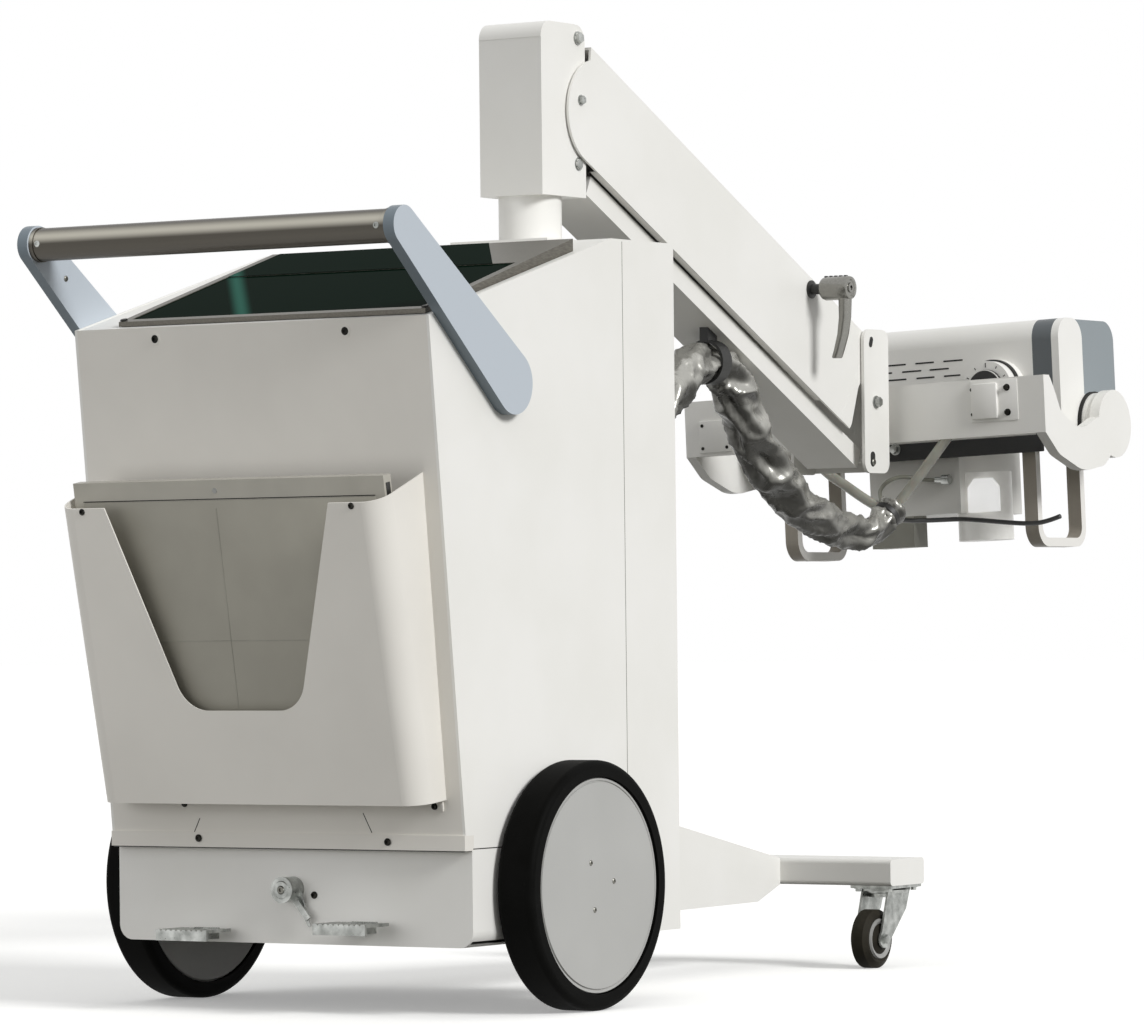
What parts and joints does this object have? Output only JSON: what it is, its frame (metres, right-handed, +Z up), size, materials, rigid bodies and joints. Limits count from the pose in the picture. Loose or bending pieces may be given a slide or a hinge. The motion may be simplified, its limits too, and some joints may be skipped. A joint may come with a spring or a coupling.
{
  "type": "portable x-ray machine",
  "caption": "Mobile x-ray unit: white wheeled cabinet with push handle and detector pocket, swivelling column, parallelogram arm, rolling yoke and tilting tube head",
  "frame": {"origin": "on the floor under the middle of the machine's outline", "axes": "+X forward from the push handle to the tube head, +Y to the machine's left, +Z up"},
  "size_m": [1.9375, 0.668, 1.294],
  "materials": {
    "bronze_anodised": "satin",
    "cable_grey": "satin",
    "caster_rubber": "matte",
    "clear_hose": "gloss",
    "dark_glass": "gloss",
    "dark_plastic": "matte",
    "detector_face": "satin",
    "disc_grey": "satin",
    "frame_aluminium": "satin",
    "handle_blue": "satin",
    "painted_grey": "satin",
    "painted_white": "satin",
    "sleeve_fabric": "satin",
    "steel": "satin",
    "tyre_black": "matte",
    "zinc": "satin"
  },
  "bodies": {
    "chassis": {"base_box": "painted_white", "base_flange": "painted_grey", "rear_axle": "steel", "power_block": "dark_plastic", "cabinet_rear_panel": "painted_grey", "cabinet_side_left": "painted_white", "cabinet_side_right": "painted_white", "cabinet_front_cover": "painted_white", "cabinet_top": "painted_white", "screen_frame": "frame_aluminium", "screen_glass": "dark_glass", "handle_plates": "handle_blue", "handle_bar": "bronze_anodised", "detector_pocket": "painted_grey", "brake_pedal_left": "zinc", "brake_pedal_right": "zinc", "latch_knob": "zinc", "front_leg": "painted_white", "front_crossbeam": "painted_white", "caster_plates": "zinc", "column_housing": "painted_white", "cable_gland": "dark_plastic", "cable_sleeve_rear": "sleeve_fabric"},
    "detector": {"detector_panel": "detector_face"},
    "rear_wheel_left": {"tyre_left": "tyre_black", "wheel_disc_left": "disc_grey"},
    "rear_wheel_right": {"tyre_right": "tyre_black", "wheel_disc_right": "disc_grey"},
    "caster_left": {"caster_fork_left": "zinc"},
    "caster_right": {"caster_fork_right": "zinc"},
    "caster_roller_left": {"caster_wheel_left": "caster_rubber"},
    "caster_roller_right": {"caster_wheel_right": "caster_rubber"},
    "column": {"column_post": "painted_white", "column_head": "painted_white"},
    "arm": {"arm_cover": "painted_white", "clamp_lever": "steel"},
    "lower_arm": {"lower_link": "painted_white", "cable_hanger": "dark_plastic", "cable_sleeve_front": "sleeve_fabric"},
    "bracket": {"end_bracket": "painted_white"},
    "fork_yoke": {"yoke": "painted_white", "cable_tie": "dark_plastic", "clear_tubes": "clear_hose", "signal_cable": "cable_grey", "black_cable": "dark_plastic"},
    "tube_head": {"tube_housing": "painted_white", "tube_caps": "handle_blue", "tube_pads": "painted_white", "pivot_hubs": "painted_white", "tube_dial": "painted_grey", "collimator": "painted_white", "lamp_cylinder": "painted_white", "collimator_plate": "dark_plastic", "strap_handles": "painted_grey", "cable_plug": "steel"}
  },
  "joints": [
    {"name": "rear_wheel_left", "type": "hinge", "parent": "chassis", "child": "rear_wheel_left", "pos_m": [-0.59025, 0.307, 0.158], "axis": [0, 1, 0], "continuous": true},
    {"name": "caster_swivel_left", "type": "hinge", "parent": "chassis", "child": "caster_left", "pos_m": [0.34475, 0.205, 0.109], "axis": [0, 0, 1], "continuous": true},
    {"name": "caster_axle_left", "type": "hinge", "parent": "caster_left", "child": "caster_roller_left", "pos_m": [0.30275, 0.205, 0.041], "axis": [0, 1, 0], "continuous": true},
    {"name": "rear_wheel_right", "type": "hinge", "parent": "chassis", "child": "rear_wheel_right", "pos_m": [-0.59025, -0.307, 0.158], "axis": [0, 1, 0], "continuous": true},
    {"name": "caster_swivel_right", "type": "hinge", "parent": "chassis", "child": "caster_right", "pos_m": [0.34475, -0.205, 0.109], "axis": [0, 0, 1], "continuous": true},
    {"name": "caster_axle_right", "type": "hinge", "parent": "caster_right", "child": "caster_roller_right", "pos_m": [0.30275, -0.205, 0.041], "axis": [0, 1, 0], "continuous": true},
    {"name": "detector_slide", "type": "slide", "parent": "chassis", "child": "detector", "axis": [-0.1692, 0, 0.9856], "range_m": [0, 0.24]},
    {"name": "column_swivel", "type": "hinge", "parent": "chassis", "child": "column", "pos_m": [-0.23225, 0, 1], "axis": [0, 0, 1], "range_deg": [-90, 90]},
    {"name": "arm_lift", "type": "hinge", "parent": "column", "child": "lower_arm", "pos_m": [-0.18825, 0, 1.106], "axis": [0, -1, 0], "range_deg": [-4, 40], "deforming": ["cable_sleeve_rear", "cable_sleeve_front"]},
    {"name": "upper_arm_hinge", "type": "hinge", "parent": "column", "child": "arm", "pos_m": [-0.18825, 0, 1.276], "axis": [0, -1, 0], "range_deg": [-4, 40]},
    {"name": "bracket_hinge", "type": "hinge", "parent": "lower_arm", "child": "bracket", "pos_m": [0.57575, 0, 0.722], "axis": [0, -1, 0], "range_deg": [-40, 4]},
    {"name": "yoke_roll", "type": "hinge", "parent": "bracket", "child": "fork_yoke", "pos_m": [0.63575, 0, 0.785], "axis": [1, 0, 0], "range_deg": [-90, 90]},
    {"name": "tube_tilt", "type": "hinge", "parent": "fork_yoke", "child": "tube_head", "pos_m": [0.85575, -0.00094, 0.76002], "axis": [0, -0.9993, 0.0375], "range_deg": [-15, 90], "deforming": ["signal_cable", "black_cable"]}
  ],
  "couplings": [
    {"joint": "upper_arm_hinge", "follows": "arm_lift", "ratio": 1},
    {"joint": "bracket_hinge", "follows": "arm_lift", "ratio": -1}
  ]
}
